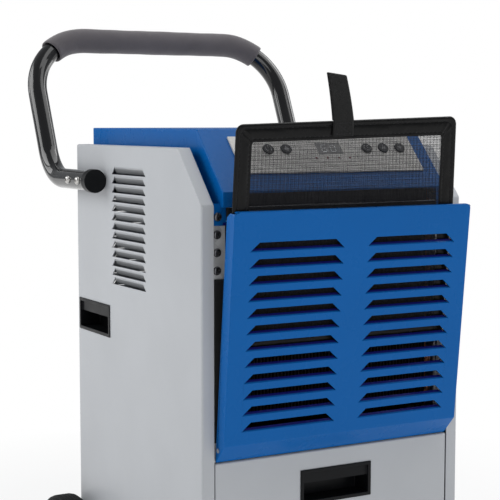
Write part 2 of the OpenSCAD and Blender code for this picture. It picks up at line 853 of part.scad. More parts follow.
module tyre() {
    r = wheel_d / 2;
    edge = 5;
    translate([wheel_x, axle_y, r]) rotate([0, 90, 0]) rotate_extrude($fn = 96)
        polygon([[rim_r, 2], [rim_r, wheel_w - 2], [r - edge, wheel_w], [r - 1, wheel_w - edge],
            [r, wheel_w - edge - 4], [r, edge + 4], [r - 1, edge], [r - edge, 0]]);
}

module left_wheel() { color("silver") place() mirror([1, 0, 0]) wheel(); }

module left_tyre() { color("black") place() mirror([1, 0, 0]) tyre(); }

module right_wheel() { color("silver") place() wheel(); }

module right_tyre() { color("black") place() tyre(); }

foot_x = 125;
foot_y = 48;

module front_feet() {
    color("black") place() both_sides() translate([foot_x, foot_y, 0]) rotate_extrude()
        polygon([[0, 0], [19, 0], [20, 3], [23, pan_z - 2], [23, pan_z], [0, pan_z]]);
}

// ---------- Water tank ----------

grip_top = panel_top - 363;
rail_h = 5;
bin_low = pan_z + sheet + rail_h + 0.3;
bin_x = 146;
bin_front = 31;
bin_rear = 168;

module tank_rails() {
    color("gray") place() both_sides()
        translate([110, 20, pan_z + sheet]) cube([16, 150, rail_h]);
}

module tank_front() {
    front_x = half_w - flange_w - 1.3;
    front_low = panel_bottom + 2;
    edge_d = 14;
    color("lightgray") place() difference() {
        translate([-front_x, 0, front_low]) cube([2 * front_x, edge_d, tank_top - front_low]);
        translate([-front_x + sheet, sheet, front_low + sheet])
            cube([2 * (front_x - sheet), edge_d, tank_top - front_low - 2 * sheet]);
        front_plate(-5, 12) translate([0, grip_top - grip_h / 2])
            square([grip_w - 4, grip_h - 4], center = true);
    }
}

module tank_bin() {
    wall = 2.5;
    color("whitesmoke") place() {
        difference() {
            translate([-bin_x, bin_front, bin_low])
                cube([2 * bin_x, bin_rear - bin_front, bin_top - bin_low]);
            translate([-bin_x + wall, bin_front + wall, bin_low + wall])
                cube([2 * (bin_x - wall), bin_rear - bin_front - 2 * wall, bin_top]);
        }
        // Front spacer that carries the tank's front panel
        both_sides() translate([-bin_x, sheet, bin_low + 10]) cube([20, bin_front - sheet, 60]);
        // Two ears that carry the float's pivot
        difference() {
            for (y = [float_y - 16, float_y + 12])
                translate([-bin_x + wall / 2, y, float_z - 6]) cube([float_x + 6 + bin_x - wall / 2, 4, 12]);
            translate([float_x, 0, float_z]) bar_along_y(2.05, float_y - 20, float_y + 20);
        }
    }
}

float_x = -128;
float_y = 120;
float_z = 165;
float_drop = 40;

module tank_float() {
    color("orange") place() translate([float_x, float_y, float_z]) {
        bar_along_y(2, -17.5, 17.5);
        rotate([0, float_drop, 0]) {
            translate([-5, -6, -4]) cube([62, 12, 8]);
            translate([55, -17, -12]) cube([34, 34, 24]);
        }
    }
}

// ---------- Front grille and air filter ----------

// Puts a child given in the closed grille's frame into its opened position.
module in_grille() {
    translate([0, pin_y, hinge_z + pin_z]) rotate([grille_tilt, 0, 0])
        translate([0, -pin_y, -pin_z]) children();
}

slot_w = 119;
slot_h = 10;
slot_top_w = 96.5;
slot_x = 75;
slot_first = chamfer_h + 14.3;
flap_len = 5.6;
flap_rise = 33;
hem = 5;

module grille_shell() {
    side_plate(-grille_w / 2, grille_w) polygon([[0, 0], [-grille_d, chamfer_h], [-grille_d, grille_h],
        [0, grille_h]]);
}

module front_grille() {
    w = grille_w / 2;
    s = grille_sheet;
    corner = 5;
    color("royalblue") place() in_grille() {
        difference() {
            grille_shell();
            side_plate(-w + s, 2 * (w - s)) polygon([[1, s * 1.6], [-1, s * 1.6 + 0.4],
                [-grille_d + s, chamfer_h + 0.5], [-grille_d + s, grille_h - s],
                [-grille_d + hem, grille_h - s], [-grille_d + hem, grille_h + 1], [1, grille_h + 1]]);
            both_sides() side_plate(-w - 1, 4) polygon([[-grille_d + 6, grille_h + 1], [1, grille_h - 9],
                [1, grille_h + 1]]);
            for (i = [0 : slot_rows - 1], x = [-slot_x, slot_x])
                translate([x, -grille_d - 2, slot_first + i * slot_pitch])
                    front_plate(0, 5) trapezoid(slot_w, slot_top_w, slot_h);
            both_sides() translate([-w - 2, pin_y, pin_z]) bar_along_x(pin_r + 0.15, 0, 8);
            both_sides() front_plate(-grille_d - 1, grille_d + 2) translate([w - corner, grille_h - corner])
                difference() {
                    square(corner + 1);
                    circle(r = corner);
                }
        }
        for (i = [0 : slot_rows - 1], x = [-slot_x, slot_x])
            translate([x, -grille_d + 0.7, slot_first + i * slot_pitch - s + 0.1])
                rotate([flap_rise, 0, 0]) linear_extrude(s) trapezoid(slot_w - 1, slot_w - 8, flap_len);
    }
}

module filter_guides() {
    guide_h = 236;
    back = filter_face + filter_t;
    gap = 0.4;
    lip = 1.3;
    left = filter_x - filter_w / 2;
    right = filter_x + filter_w / 2;
    inner = grille_w / 2 - grille_sheet;
    color("silver") place() in_grille() {
        translate([-inner, filter_face - gap - lip, filter_seat]) {
            cube([6, lip, guide_h]);
            translate([0, filter_t + 2 * gap + lip, 0]) cube([6, lip, guide_h]);
            cube([0.8, filter_t + 2 * (gap + lip), guide_h]);
            translate([0, lip + gap, -2.3]) cube([6, filter_t, 2]);
            translate([0, 0, -2.3]) cube([0.8, filter_t + 2 * (gap + lip), 2.4]);
        }
        translate([right + gap, filter_face - gap - lip, filter_seat - 2.3])
            cube([1.2, filter_t + 2 * (gap + lip), guide_h + 2.3]);
        translate([right - 5, filter_face - gap - lip, filter_seat]) cube([5 + gap + 0.5, lip, guide_h]);
        translate([right - 5, back + gap, filter_seat])
            cube([inner - right + 5, lip, guide_h]);
        translate([right - 5, filter_face, filter_seat - 2.3]) cube([5 + gap + 0.5, filter_t, 2]);
    }
}

// Puts a child into the grille at the filter's drawn-up place.
module on_filter() {
    in_grille() translate([filter_x, filter_face, filter_seat + filter_lift]) children();
}

module filter_frame() {
    corner = 9;
    color("black") place() on_filter() front_plate(0, filter_t) translate([0, filter_h / 2])
        difference() {
            rounded_rect(filter_w, filter_h, corner);
            square([filter_w - 2 * filter_border, filter_h - 2 * filter_border], center = true);
        }
}

module filter_mesh() {
    mesh_t = 0.8;
    color("dimgray") place() on_filter() front_plate(filter_t / 2 - mesh_t / 2, mesh_t)
        translate([0, filter_h / 2])
            square([filter_w - 2 * filter_border, filter_h - 2 * filter_border], center = true);
}

module filter_strap() {
    tail = 17;
    color("black") place() on_filter() translate([strap_x - filter_x - strap_w / 2, -strap_t, filter_h]) {
        translate([0, 0, -tail]) cube([strap_w, strap_t, tail + strap_up]);
        translate([0, strap_t, 0.1]) cube([strap_w, strap_t, strap_up - 0.1]);
    }
}

base_pan();
left_side_panel();
right_side_panel();
rear_panel();
panel_screws();
top_cover();
control_plate();
display_window();
indicator_leds();
control_board();
left_recess_grip();
right_recess_grip();
handle_tube();
handle_foam();
handle_end_caps();
handle_bolts();
front_frame();
hinge_pins();
evaporator_fins();
evaporator_tubes();
condenser_fins();
condenser_tubes();
drip_tray();
drain_hose();
fan_shroud();
fan_motor();
motor_bracket();
shelf();
bulkhead();
compressor();
compressor_mounts();
refrigerant_lines();
filter_drier();
electrics_box();
cable_gland();
drain_spout();
axle();
axle_clips();
front_feet();
tank_rails();
front_grille();
filter_guides();
filter_frame();
filter_mesh();
filter_strap();
tank_front();
tank_bin();
tank_grip();
tank_float();
fan_rotor();
motor_shaft();
left_wheel();
left_tyre();
right_wheel();
right_tyre();
power_button();
mode_button();
timer_button();
up_button();
down_button();
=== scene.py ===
"""Looks of a portable commercial dehumidifier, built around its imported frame."""

import json
import math

import bmesh
import bpy
import numpy as np
from mathutils import Matrix, Vector


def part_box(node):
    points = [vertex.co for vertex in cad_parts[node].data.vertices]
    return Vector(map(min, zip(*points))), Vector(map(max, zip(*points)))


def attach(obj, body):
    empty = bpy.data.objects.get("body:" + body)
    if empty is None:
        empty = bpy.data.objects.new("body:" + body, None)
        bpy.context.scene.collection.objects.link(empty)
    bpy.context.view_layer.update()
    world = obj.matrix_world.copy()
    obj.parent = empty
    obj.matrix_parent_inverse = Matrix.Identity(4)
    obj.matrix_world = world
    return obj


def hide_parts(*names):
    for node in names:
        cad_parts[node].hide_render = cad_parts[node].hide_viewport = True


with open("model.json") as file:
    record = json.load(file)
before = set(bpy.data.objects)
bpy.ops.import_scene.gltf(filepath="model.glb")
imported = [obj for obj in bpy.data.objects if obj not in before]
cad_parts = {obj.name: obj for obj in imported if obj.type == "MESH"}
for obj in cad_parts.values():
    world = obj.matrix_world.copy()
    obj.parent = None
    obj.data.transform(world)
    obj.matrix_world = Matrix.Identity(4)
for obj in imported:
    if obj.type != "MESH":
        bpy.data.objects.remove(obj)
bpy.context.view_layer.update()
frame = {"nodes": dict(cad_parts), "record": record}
nodes = frame["nodes"]

scene = bpy.context.scene

MM = 0.001
# The cabinet's front plane, from which depths are counted
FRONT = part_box("left_side_panel")[0].y


def at(x, y, z):
    """A point given in millimetres: across, back from the front plane, up from the floor."""
    return Vector((x * MM, FRONT + y * MM, z * MM))


# At rest the grille leans forward about its hinge pins, as far as its joint lets it
GRILLE_JOINT = next(j for j in frame["record"]["behaviour"]["joints"] if j["name"] == "grille_tilt")
TILT = math.radians(-GRILLE_JOINT["range_deg"][0])
PIN = Vector(GRILLE_JOINT["pos_m"])


# ---------- Shader helpers ----------

def linear(r, g, b):
    """A screen colour of 0 to 255 as a scene colour."""
    def one(c):
        c /= 255
        return c / 12.92 if c <= 0.04045 else ((c + 0.055) / 1.055) ** 2.4
    return (one(r), one(g), one(b), 1.0)


def scaled(colour, k):
    """A colour made k times as light."""
    return tuple(min(1.0, c * k) for c in colour[:3]) + (1.0,)


class Shader:
    """A Principled material whose sockets are fed by procedural textures in object space."""

    def __init__(self, name, **constants):
        self.material = bpy.data.materials.new(name)
        self.material.use_nodes = True
        self.tree = self.material.node_tree
        self.tree.nodes.clear()
        out = self.add("OutputMaterial")
        self.bsdf = self.add("BsdfPrincipled", constants)
        self.tree.links.new(self.bsdf.outputs["BSDF"], out.inputs["Surface"])
        self.position = self.add("TexCoord").outputs["Object"]
        self.split = None

    def add(self, kind, inputs=None, **settings):
        made = self.tree.nodes.new("ShaderNode" + kind)
        for key, value in settings.items():
            setattr(made, key, value)
        for key, value in (inputs or {}).items():
            self.set(made.inputs[key], value)
        return made

    def set(self, socket, value):
        if isinstance(value, bpy.types.NodeSocket):
            self.tree.links.new(value, socket)
        else:
            socket.default_value = value

    def math(self, operation, a, b=0.0):
        made = self.add("Math", operation=operation)
        for i, value in enumerate((a, b)):
            self.set(made.inputs[i], value)
        return made.outputs[0]

    def noise(self, scale, detail=3.0, stretch=None, distortion=0.0):
        where = self.position
        if stretch:
            where = self.add("Mapping", {"Vector": where, "Scale": stretch}).outputs[0]
        return self.add("TexNoise", {"Vector": where, "Scale": scale, "Detail": detail,
                                     "Distortion": distortion}).outputs["Fac"]

    def cells(self, scale, feature="F1", output="Distance"):
        made = self.add("TexVoronoi", {"Vector": self.position, "Scale": scale}, feature=feature)
        return made.outputs[output]

    def spread(self, value, low, high, start=0.3, end=0.7):
        """The value's run from start to end, stretched to low to high and held there beyond it."""
        return self.add("MapRange", {"Value": value, "From Min": start, "From Max": end,
                                     "To Min": low, "To Max": high}).outputs[0]

    def mix(self, factor, a, b):
        made = self.add("Mix", data_type="RGBA")
        for socket, value in ((made.inputs[0], factor), (made.inputs[6], a), (made.inputs[7], b)):
            self.set(socket, value)
        return made.outputs[2]

    def axis(self, i):
        if self.split is None:
            self.split = self.add("SeparateXYZ", {0: self.position})
        return self.split.outputs[i]

    def along(self, origin, way):
        """How far the surface lies from an origin along a direction, in metres."""
        moved = self.add("VectorMath", {0: self.position, 1: tuple(origin)}, operation="SUBTRACT").outputs[0]
        return self.add("VectorMath", {0: moved, 1: way}, operation="DOT_PRODUCT").outputs["Value"]

    def stripes(self, i, pitch):
        """A wave of one cycle per pitch, in metres, along axis i."""
        return self.math("SINE", self.math("MULTIPLY", self.axis(i), 2 * math.pi / pitch))

    def within(self, mask, *ranges):
        """The mask where every (value, low, high) lies between its ends, and none elsewhere."""
        for value, low, high in ranges:
            mask = self.math("MULTIPLY", mask, self.math("GREATER_THAN", value, low))
            mask = self.math("MULTIPLY", mask, self.math("LESS_THAN", value, high))
        return mask

    def tone(self, colour, spread, scale):
        """Base colour that drifts a little lighter and darker over the surface."""
        clouds = self.spread(self.noise(scale, 4.0), 0.0, 1.0)
        return self.tint(self.mix(clouds, scaled(colour, 1 - spread), scaled(colour, 1 + spread)))

    def tint(self, colour):
        self.colour = colour
        self.set(self.bsdf.inputs["Base Color"], colour)
        return self

    def rough(self, low, high, scale):
        self.set(self.bsdf.inputs["Roughness"], self.spread(self.noise(scale, 5.0), low, high))
        return self

    def bump(self, *layers):
        """Layers of (height socket, depth in metres)."""
        normal = None
        for height, depth in layers:
            inputs = {"Height": height, "Strength": 1.0, "Distance": depth}
            if normal:
                inputs["Normal"] = normal
            normal = self.add("Bump", inputs).outputs[0]
        self.set(self.bsdf.inputs["Normal"], normal)
        return self


def coated(name, colour, gloss, coat, shine=0.3):
    """Powder coat with a fine orange peel, as a shader that can still be added to."""
    s = Shader(name, **{"Coat Weight": coat, "Coat Roughness": 0.1, "Specular IOR Level": shine})
    s.tone(colour, 0.03, 9).rough(gloss, gloss + 0.07, 25)
    return s.bump((s.noise(420, 2.0), 0.00005), (s.noise(2400, 2.0), 0.000012))


# Where the side louvres lie, back from the front plane and up from the floor, in metres
LOUVRES_BACK, LOUVRES_UP = (FRONT + 0.137, FRONT + 0.238), (0.425, 0.579)
# Where the grille's louvres lie, across and up from its hinge pins, in metres
SLOTS_ACROSS, SLOTS_UP = (-0.1445, 0.1445), (0.014, 0.245)


def cabinet_paint(name, colour):
    """Cabinet paint with painted shade: darker in the throats of the side louvres."""
    s = coated(name, colour, 0.34, 0.08)
    sunk = s.math("SUBTRACT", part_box("right_side_panel")[1].x, s.math("ABSOLUTE", s.axis(0)))
    # Painted shade: where the panel is sunk into the louvres' throats, the colour falls to 0.45 of itself
    painted_throat_shade = s.within(s.spread(sunk, 0.0, 1.0, 0.0005, 0.0016),
                      (s.axis(1), *LOUVRES_BACK), (s.axis(2), *LOUVRES_UP))
    return s.tint(s.mix(painted_throat_shade, s.colour, scaled(colour, 0.45))).material


def cover_paint(name, colour, flap_shade_colour):
    """Cover paint with painted shade, a dark violet-blue, on the turned-in flaps of the grille's louvres."""
    s = coated(name, colour, 0.24, 0.04, 0.1)
    inwards = s.along(PIN, (0, math.cos(TILT), math.sin(TILT)))
    upwards = s.along(PIN, (0, -math.sin(TILT), math.cos(TILT)))
    # Painted shade on the turned-in flaps of the grille's louvres
    painted_flap_shade = s.within(s.spread(inwards, 0.0, 1.0, -0.0112, -0.0098),
                    (s.axis(0), *SLOTS_ACROSS), (upwards, *SLOTS_UP))
    return s.tint(s.mix(painted_flap_shade, s.colour, flap_shade_colour)).material


def glazed(name, colour):
    """Glossy black enamel on the handle tube."""
    s = Shader(name, **{"Coat Weight": 1.0, "Coat Roughness": 0.02, "Specular IOR Level": 0.1})
    s.tone(colour, 0.1, 20).rough(0.2, 0.3, 40)
    return s.bump((s.noise(90, 2.0), 0.00003)).material


def zinc(name, colour):
    """Galvanised sheet with its spangle of crystals."""
    s = Shader(name, Metallic=0.4)
    grey = s.add("RGBToBW", {0: s.cells(70, output="Color")}).outputs[0]
    shade = s.spread(grey, 0.0, 1.0, 0.2, 0.8)
    s.tint(s.mix(shade, scaled(colour, 0.86), scaled(colour, 1.1)))
    s.set(s.bsdf.inputs["Roughness"], s.spread(grey, 0.31, 0.48, 0.2, 0.8))
    return s.bump((s.noise(900, 3.0), 0.00002)).material


def turned(name, colour, axis, rough=0.25):
    """Bright turned metal with fine lathe lines along an axis."""
    s = Shader(name, Metallic=1.0)
    s.tone(colour, 0.12, 60).rough(rough, rough + 0.18, 90)
    stretch = [60.0, 60.0, 60.0]
    stretch[axis] = 2600.0
    return s.bump((s.noise(1.0, 2.0, stretch=stretch), 0.00002)).material


def moulded(name, colour, rough, grain=0.00004, scale=1100, shine=0.2):
    """Moulded plastic or rubber with a spark-eroded grain."""
    s = Shader(name, **{"Specular IOR Level": shine})
    s.tone(colour, 0.08, 22).rough(rough, rough + 0.12, 60)
    return s.bump((s.cells(scale), grain), (s.noise(3.2 * scale, 2.0), grain * 0.5)).material


def finned(name, colour):
    """Thin aluminium fins, seen edge on, with painted shade: darker stripes in the gaps between them."""
    s = Shader(name, Metallic=0.5, **{"Specular IOR Level": 0.1})
    wave = s.stripes(0, 0.0018)
    s.tone(colour, 0.1, 30).rough(0.35, 0.55, 70)
    # Painted shade: the gaps between the fins fall to half the colour
    s.tint(s.mix(s.spread(wave, 0.0, 1.0, -0.6, 0.9), scaled(colour, 0.5), s.colour))
    return s.bump((wave, 0.0004), (s.noise(300, 3.0), 0.0001)).material


def foamed(name, colour):
    """Closed-cell foam: soft sheen, small open pores and slow dents."""
    s = Shader(name, **{"Sheen Weight": 0.3, "Sheen Roughness": 0.45, "Specular IOR Level": 0.25})
    s.tone(colour, 0.07, 26).rough(0.78, 0.95, 120)
    dents, pores, grain = s.noise(60, 3.0), s.cells(1500), s.noise(4200, 3.0)
    return s.bump((dents, 0.0005), (pores, 0.00022), (grain, 0.00008)).material


def vinyl(name, colour):
    """Soft coated vinyl, wrinkled, with a leather grain."""
    s = Shader(name, **{"Coat Weight": 0.05, "Coat Roughness": 0.12, "Specular IOR Level": 0.14})
    s.tone(colour, 0.25, 35).rough(0.24, 0.4, 70)
    wrinkles, grain = s.noise(110, 4.0, distortion=0.6), s.cells(1250, "SMOOTH_F1")
    return s.bump((wrinkles, 0.0007), (grain, 0.00012)).material


def netting(name, colour):
    """Polyester yarn of the net."""
    s = Shader(name, **{"Sheen Weight": 0.05, "Specular IOR Level": 0.3})
    s.tone(colour, 0.25, 40).rough(0.5, 0.7, 200)
    return s.bump((s.noise(5000, 2.0), 0.00003)).material


def webbing(name, colour):
    """A flat woven strap: weft ribs across it and fine warp yarns along it."""
    s = Shader(name, **{"Sheen Weight": 0.08, "Sheen Roughness": 0.4, "Specular IOR Level": 0.2})
    weave = s.math("MULTIPLY", s.stripes(2, 0.0021), s.stripes(0, 0.0011))
    raised = s.spread(weave, 0.0, 1.0, -0.8, 0.8)
    s.tint(s.mix(raised, scaled(colour, 0.55), scaled(colour, 1.5))).rough(0.7, 0.88, 150)
    return s.bump((weave, 0.0003), (s.noise(5200, 2.0), 0.00008)).material


def treaded(name, colour):
    """Tyre rubber with grooves running round it."""
    s = Shader(name, **{"Specular IOR Level": 0.2})
    s.tone(colour, 0.15, 40).rough(0.55, 0.72, 80)
    groove = s.math("POWER", s.math("ABSOLUTE", s.stripes(0, 0.009)), 0.3)
    return s.bump((groove, 0.0012), (s.cells(1300), 0.00006)).material


def circuit(name, colour):
    """Lacquered board with raised tracks."""
    s = Shader(name, **{"Coat Weight": 0.4})
    s.tone(colour, 0.1, 30).rough(0.3, 0.45, 60)
    tracks = s.math("GREATER_THAN", s.stripes(0, 0.0035), 0.55)
    s.tint(s.mix(tracks, s.colour, scaled(colour, 2.1)))
    return s.bump((tracks, 0.00005)).material


def cloudy(name, colour):
    """Milky blow-moulded plastic that lets some light through."""
    s = Shader(name, **{"Transmission Weight": 0.35, "IOR": 1.49,
                        "Subsurface Weight": 0.25, "Subsurface Radius": (0.01, 0.01, 0.01)})
    s.tone(colour, 0.03, 14).rough(0.32, 0.46, 30)
    return s.bump((s.noise(260, 3.0), 0.00012)).material


def lens(name, colour, glow=0.0):
    """Polished clear-coated plastic, which may be given a faint painted glow."""
    s = Shader(name, **{"Coat Weight": 1.0, "Coat Roughness": 0.03})
    s.tone(colour, 0.06, 50).rough(0.08, 0.16, 90)
    if glow:
        s.set(s.bsdf.inputs["Emission Color"], colour)
        s.set(s.bsdf.inputs["Emission Strength"], glow)
    return s.bump((s.noise(700, 2.0), 0.00001)).material


STEEL = (0.62, 0.63, 0.64, 1)
COPPER = (0.72, 0.34, 0.19, 1)
LOOKS = {
    "cabinet_grey": cabinet_paint("cabinet_grey", linear(184, 187, 191)),
    # The second colour is painted shade on the grille's louvre flaps
    "cover_blue": cover_paint("cover_blue", linear(6, 94, 168), linear(28, 30, 112)),
    "galvanised": zinc("galvanised", (0.74, 0.75, 0.76, 1)),
    "screws": turned("screws", (0.55, 0.54, 0.52, 1), 1),
    "axle_steel": turned("axle_steel", STEEL, 0, 0.2),
    "axle_clips": turned("axle_clips", (0.3, 0.3, 0.32, 1), 0, 0.35),
    "plate_grey": moulded("plate_grey", linear(222, 220, 216), 0.42, 0.00003, 1500, shine=0.3),
    "display": lens("display", (0.012, 0.012, 0.014, 1)),
    "led": lens("led", (0.16, 0.012, 0.01, 1)),
    "circuit_board": circuit("circuit_board", (0.015, 0.12, 0.045, 1)),
    "black_plastic": moulded("black_plastic", (0.004, 0.0045, 0.0055, 1), 0.3, 0.00003, shine=0.16),
    "button_rubber": moulded("button_rubber", (0.035, 0.036, 0.04, 1), 0.4),
    "handle_black": glazed("handle_black", (0.004, 0.004, 0.0045, 1)),
    "foam": foamed("foam", linear(95, 91, 94)),
    # The fins' near-black colour is painted shade, for the shade they lie in behind the grille and cover
    "fins": finned("fins", (0.02, 0.018, 0.021, 1)),
    "copper": turned("copper", COPPER, 2, 0.3),
    "inner_plastic": moulded("inner_plastic", (0.02, 0.02, 0.022, 1), 0.5),
    "hose": moulded("hose", (0.28, 0.28, 0.29, 1), 0.4),
    "compressor_black": coated("compressor_black", (0.01, 0.01, 0.011, 1), 0.2, 0.6).material,
    "rubber_black": moulded("rubber_black", (0.018, 0.018, 0.018, 1), 0.62, 0.00006, 900),
    "electrics_grey": moulded("electrics_grey", (0.45, 0.45, 0.46, 1), 0.5),
    "rail_plastic": moulded("rail_plastic", (0.3, 0.3, 0.31, 1), 0.35),
    "vinyl_black": vinyl("vinyl_black", (0.004, 0.004, 0.0042, 1)),
    "mesh_black": netting("mesh_black", (0.006, 0.006, 0.0085, 1)),
    "webbing_black": webbing("webbing_black", (0.012, 0.012, 0.012, 1)),
    "tank_plastic": cloudy("tank_plastic", (0.78, 0.8, 0.82, 1)),
    "float_orange": moulded("float_orange", (0.7, 0.2, 0.03, 1), 0.35),
    "wheel_grey": moulded("wheel_grey", (0.075, 0.076, 0.08, 1), 0.42, 0.00005),
    "tyre_black": treaded("tyre_black", (0.012, 0.012, 0.013, 1)),
}
SLOT_OF = {p["node"]: p["material_slot"] for p in frame["record"]["subparts"]}
BODY_OF = {n: b for b, members in frame["record"]["behaviour"]["bodies"].items() for n in members}
for name, obj in nodes.items():
    for entry in obj.material_slots:
        entry.material = LOOKS[SLOT_OF[name]]


# ---------- Mesh helpers ----------

def place(obj, body, slot, replaced=(), look=None):
    """Links a new piece to the scene and its body, gives it its finish and hides the CAD nodes that it stands
    for.
    """
    scene.collection.objects.link(obj)
    if not obj.data.materials:
        obj.data.materials.append(look or LOOKS[slot])
    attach(obj, body)
    if replaced:
        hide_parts(*replaced)
    return obj


def mesh_piece(name, points, faces, body, slot, replaced=(), smooth=True, matrix=None, look=None):
    data = bpy.data.meshes.new(name)
    data.from_pydata([tuple(p) for p in points], [], faces)
    data.validate()
    data.polygons.foreach_set("use_smooth", [smooth] * len(data.polygons))
    obj = bpy.data.objects.new(name, data)
    if matrix is not None:
        obj.matrix_world = matrix
    return place(obj, body, slot, replaced, look)


def rings_to_faces(count, size, closed_path=False):
    """Faces between `count` rings of `size` points each. An open path is capped at its two ends."""
    faces = []
    for i in range(count if closed_path else count - 1):
        a, b = i * size, (i + 1) % count * size
        faces += [(a + j, a + (j + 1) % size, b + (j + 1) % size, b + j) for j in range(size)]
    if not closed_path:
        faces += [tuple(reversed(range(size))), tuple(range((count - 1) * size, count * size))]
    return faces


def welded(data):
    """A mesh ready to edit, with its doubled points joined."""
    bm = bmesh.new()
    bm.from_mesh(data)
    bmesh.ops.remove_doubles(bm, verts=bm.verts, dist=1e-6)
    return bm


# Two faces whose normals' product is above this belong to one smooth surface
SMOOTH = 0.965
# Edges that turn by less than this many radians are left alone
FOLD_ANGLE = 0.26


def smooth_regions(bm):
    """Numbers each face by the smooth region that it belongs to, and gives each region's width in metres."""
    bm.faces.ensure_lookup_table()
    region, widths = {}, []
    for seed in bm.faces:
        if seed.index in region:
            continue
        queue, members = [seed], []
        region[seed.index] = len(widths)
        while queue:
            face = queue.pop()
            members.append(face)
            for edge in face.edges:
                for other in edge.link_faces:
                    if other.index not in region and other.normal.dot(face.normal) > SMOOTH:
                        region[other.index] = len(widths)
                        queue.append(other)
        points = np.array([v.co for f in members for v in f.verts])
        spans = points.max(0) - points.min(0)
        widths.append(sum(f.calc_area() for f in members) / max(float(np.linalg.norm(spans)), 1e-6))
    return region, widths


def rounded_copy(node, fold, edge, min_width=0.005, clamp=False):
    """A copy of a CAD node whose folds between broad faces get the radius `fold` and other edges `edge`."""
    bm = welded(nodes[node].data)
    bm.normal_update()
    region, widths = smooth_regions(bm)
    layer = bm.edges.layers.float.new("bevel_weight_edge")
    for e in bm.edges:
        if len(e.link_faces) != 2 or e.calc_face_angle(0.0) < FOLD_ANGLE:
            continue
        broad = min(widths[region[f.index]] for f in e.link_faces) > min_width
        e[layer] = 1.0 if broad and e.is_convex else edge / fold
    data = bpy.data.meshes.new(node + "_rounded")
    bm.to_mesh(data)
    bm.free()
    data.polygons.foreach_set("use_smooth", [True] * len(data.polygons))
    obj = bpy.data.objects.new(node + "_skin", data)
    place(obj, BODY_OF[node], SLOT_OF[node], [node])
    bevel = obj.modifiers.new("bevel", "BEVEL")
    bevel.width = fold
    bevel.segments = 3
    bevel.limit_method = "WEIGHT"
    bevel.use_clamp_overlap = clamp
    bevel.miter_outer = "MITER_ARC"
    facing = obj.modifiers.new("facing", "WEIGHTED_NORMAL")
    facing.mode = "FACE_AREA"
    facing.weight = 100
    facing.keep_sharp = False


# Folded sheet metal: soft bends between its broad faces, dressed cut edges elsewhere
for node, bend in (("left_side_panel", 0.0024), ("right_side_panel", 0.0024), ("top_cover", 0.0016),
                   ("front_grille", 0.0012), ("tank_front", 0.0018)):
    rounded_copy(node, bend, 0.00022)
# Moulded and turned parts: one small radius on every edge
for node, bend in (("left_recess_grip", 0.0008), ("right_recess_grip", 0.0008),
                   ("tank_grip", 0.0008), ("electrics_box", 0.003), ("cable_gland", 0.0006)):
    rounded_copy(node, bend, bend, min_width=1.0, clamp=True)


# ---------- Air filter: bound border, laid net and webbing strap ----------

# The grille's own frame: upright at the foot of its front sheet, and tilted with it
IN_GRILLE = (Matrix.Translation(PIN) @ Matrix.Rotation(TILT, 4, "X")
             @ Matrix.Translation(Vector((0, 0.005, -0.0152))))
FILTER_W, FILTER_H, HEM = 290.0, 254.0, 20.0
FILTER_ORIGIN = np.array([-8.0, -9.7, 120.0])
# Height on the filter from which it stands free of the grille
FREE_FROM = 138
# How much the pull of the strap slants its top edge, and draws its right side in, for each mm across
SLANT, DRAW_IN = 0.032, 0.018


def drawn(points):
    """Places filter points in the grille's frame, in metres. They are given in millimetres across, into
    the depth and up from the filter's lower middle. The pull of the strap skews those above the grille."""
    p = np.array(points, float)
    pull = np.clip((p[:, 2] - FREE_FROM) / (FILTER_H - FREE_FROM), 0, 1)
    across = np.clip(p[:, 0], -FILTER_W / 2, FILTER_W / 2)
    p[:, 2] += SLANT * across * pull
    p[:, 0] -= DRAW_IN * (across + FILTER_W / 2) * pull
    return (p + FILTER_ORIGIN) * MM


def rounded_path(width, height, radius, straight, arc):
    """Points round a rectangle with rounded corners, anticlockwise from the right end of its lower side."""
    corners = [(width / 2 - radius, radius, -90), (width / 2 - radius, height - radius, 0),
               (radius - width / 2, height - radius, 90), (radius - width / 2, radius, 180)]
    points = []
    for i, (x, y, start) in enumerate(corners):
        for j in range(arc + 1):
            a = math.radians(start + 90 * j / arc)
            points.append((x + radius * math.cos(a), y + radius * math.sin(a)))
        x0, y0 = points[-1]
        x1, y1, start1 = corners[(i + 1) % 4]
        a = math.radians(start1)
        x1, y1 = x1 + radius * math.cos(a), y1 + radius * math.sin(a)
        points += [(x0 + (x1 - x0) * j / straight, y0 + (y1 - y0) * j / straight) for j in range(1, straight)]
    return np.array(points)


# Steps along each side of the border and round each of its corners
SIDE_STEPS, CORNER_STEPS = 84, 10
outer_path = rounded_path(FILTER_W, FILTER_H, 9, SIDE_STEPS, CORNER_STEPS)
inner_path = rounded_path(FILTER_W - 2 * HEM, FILTER_H - 2 * HEM, 3, SIDE_STEPS, CORNER_STEPS) + [0, HEM]
step_lengths = np.linalg.norm(np.roll(outer_path, -1, 0) - outer_path, axis=1)
travel = np.concatenate([[0], np.cumsum(step_lengths)[:-1]])
corner_points = np.array([(x, y) for x in (-FILTER_W / 2, FILTER_W / 2) for y in (0, FILTER_H)])
to_corner = np.linalg.norm(outer_path[:, None] - corner_points[None], axis=2).min(1)

# Cross-section of the border as (distance in from the edge, depth). The front half runs from the hem, over a
# line of stitches at HEM_SEAM and another at PIPING_SEAM, to the piping round the edge.
HEM_SEAM, PIPING_SEAM, THICK = 16.6, 5.5, 5.0
front_half = [(HEM, 1.9), (18.9, 1.55), (17.4, 1.6), (HEM_SEAM, 1.95), (15.8, 1.5), (13.4, 1.0), (10.4, 0.8),
              (7.6, 0.95), (6.2, 1.3), (PIPING_SEAM, 1.75), (4.9, 1.2), (4.2, 0.5), (3.1, 0.12), (1.9, 0.1),
              (0.8, 0.6), (0.15, 1.5)]
section = front_half + [(0.0, THICK / 2)] + [(n, THICK - w) for n, w in reversed(front_half)]


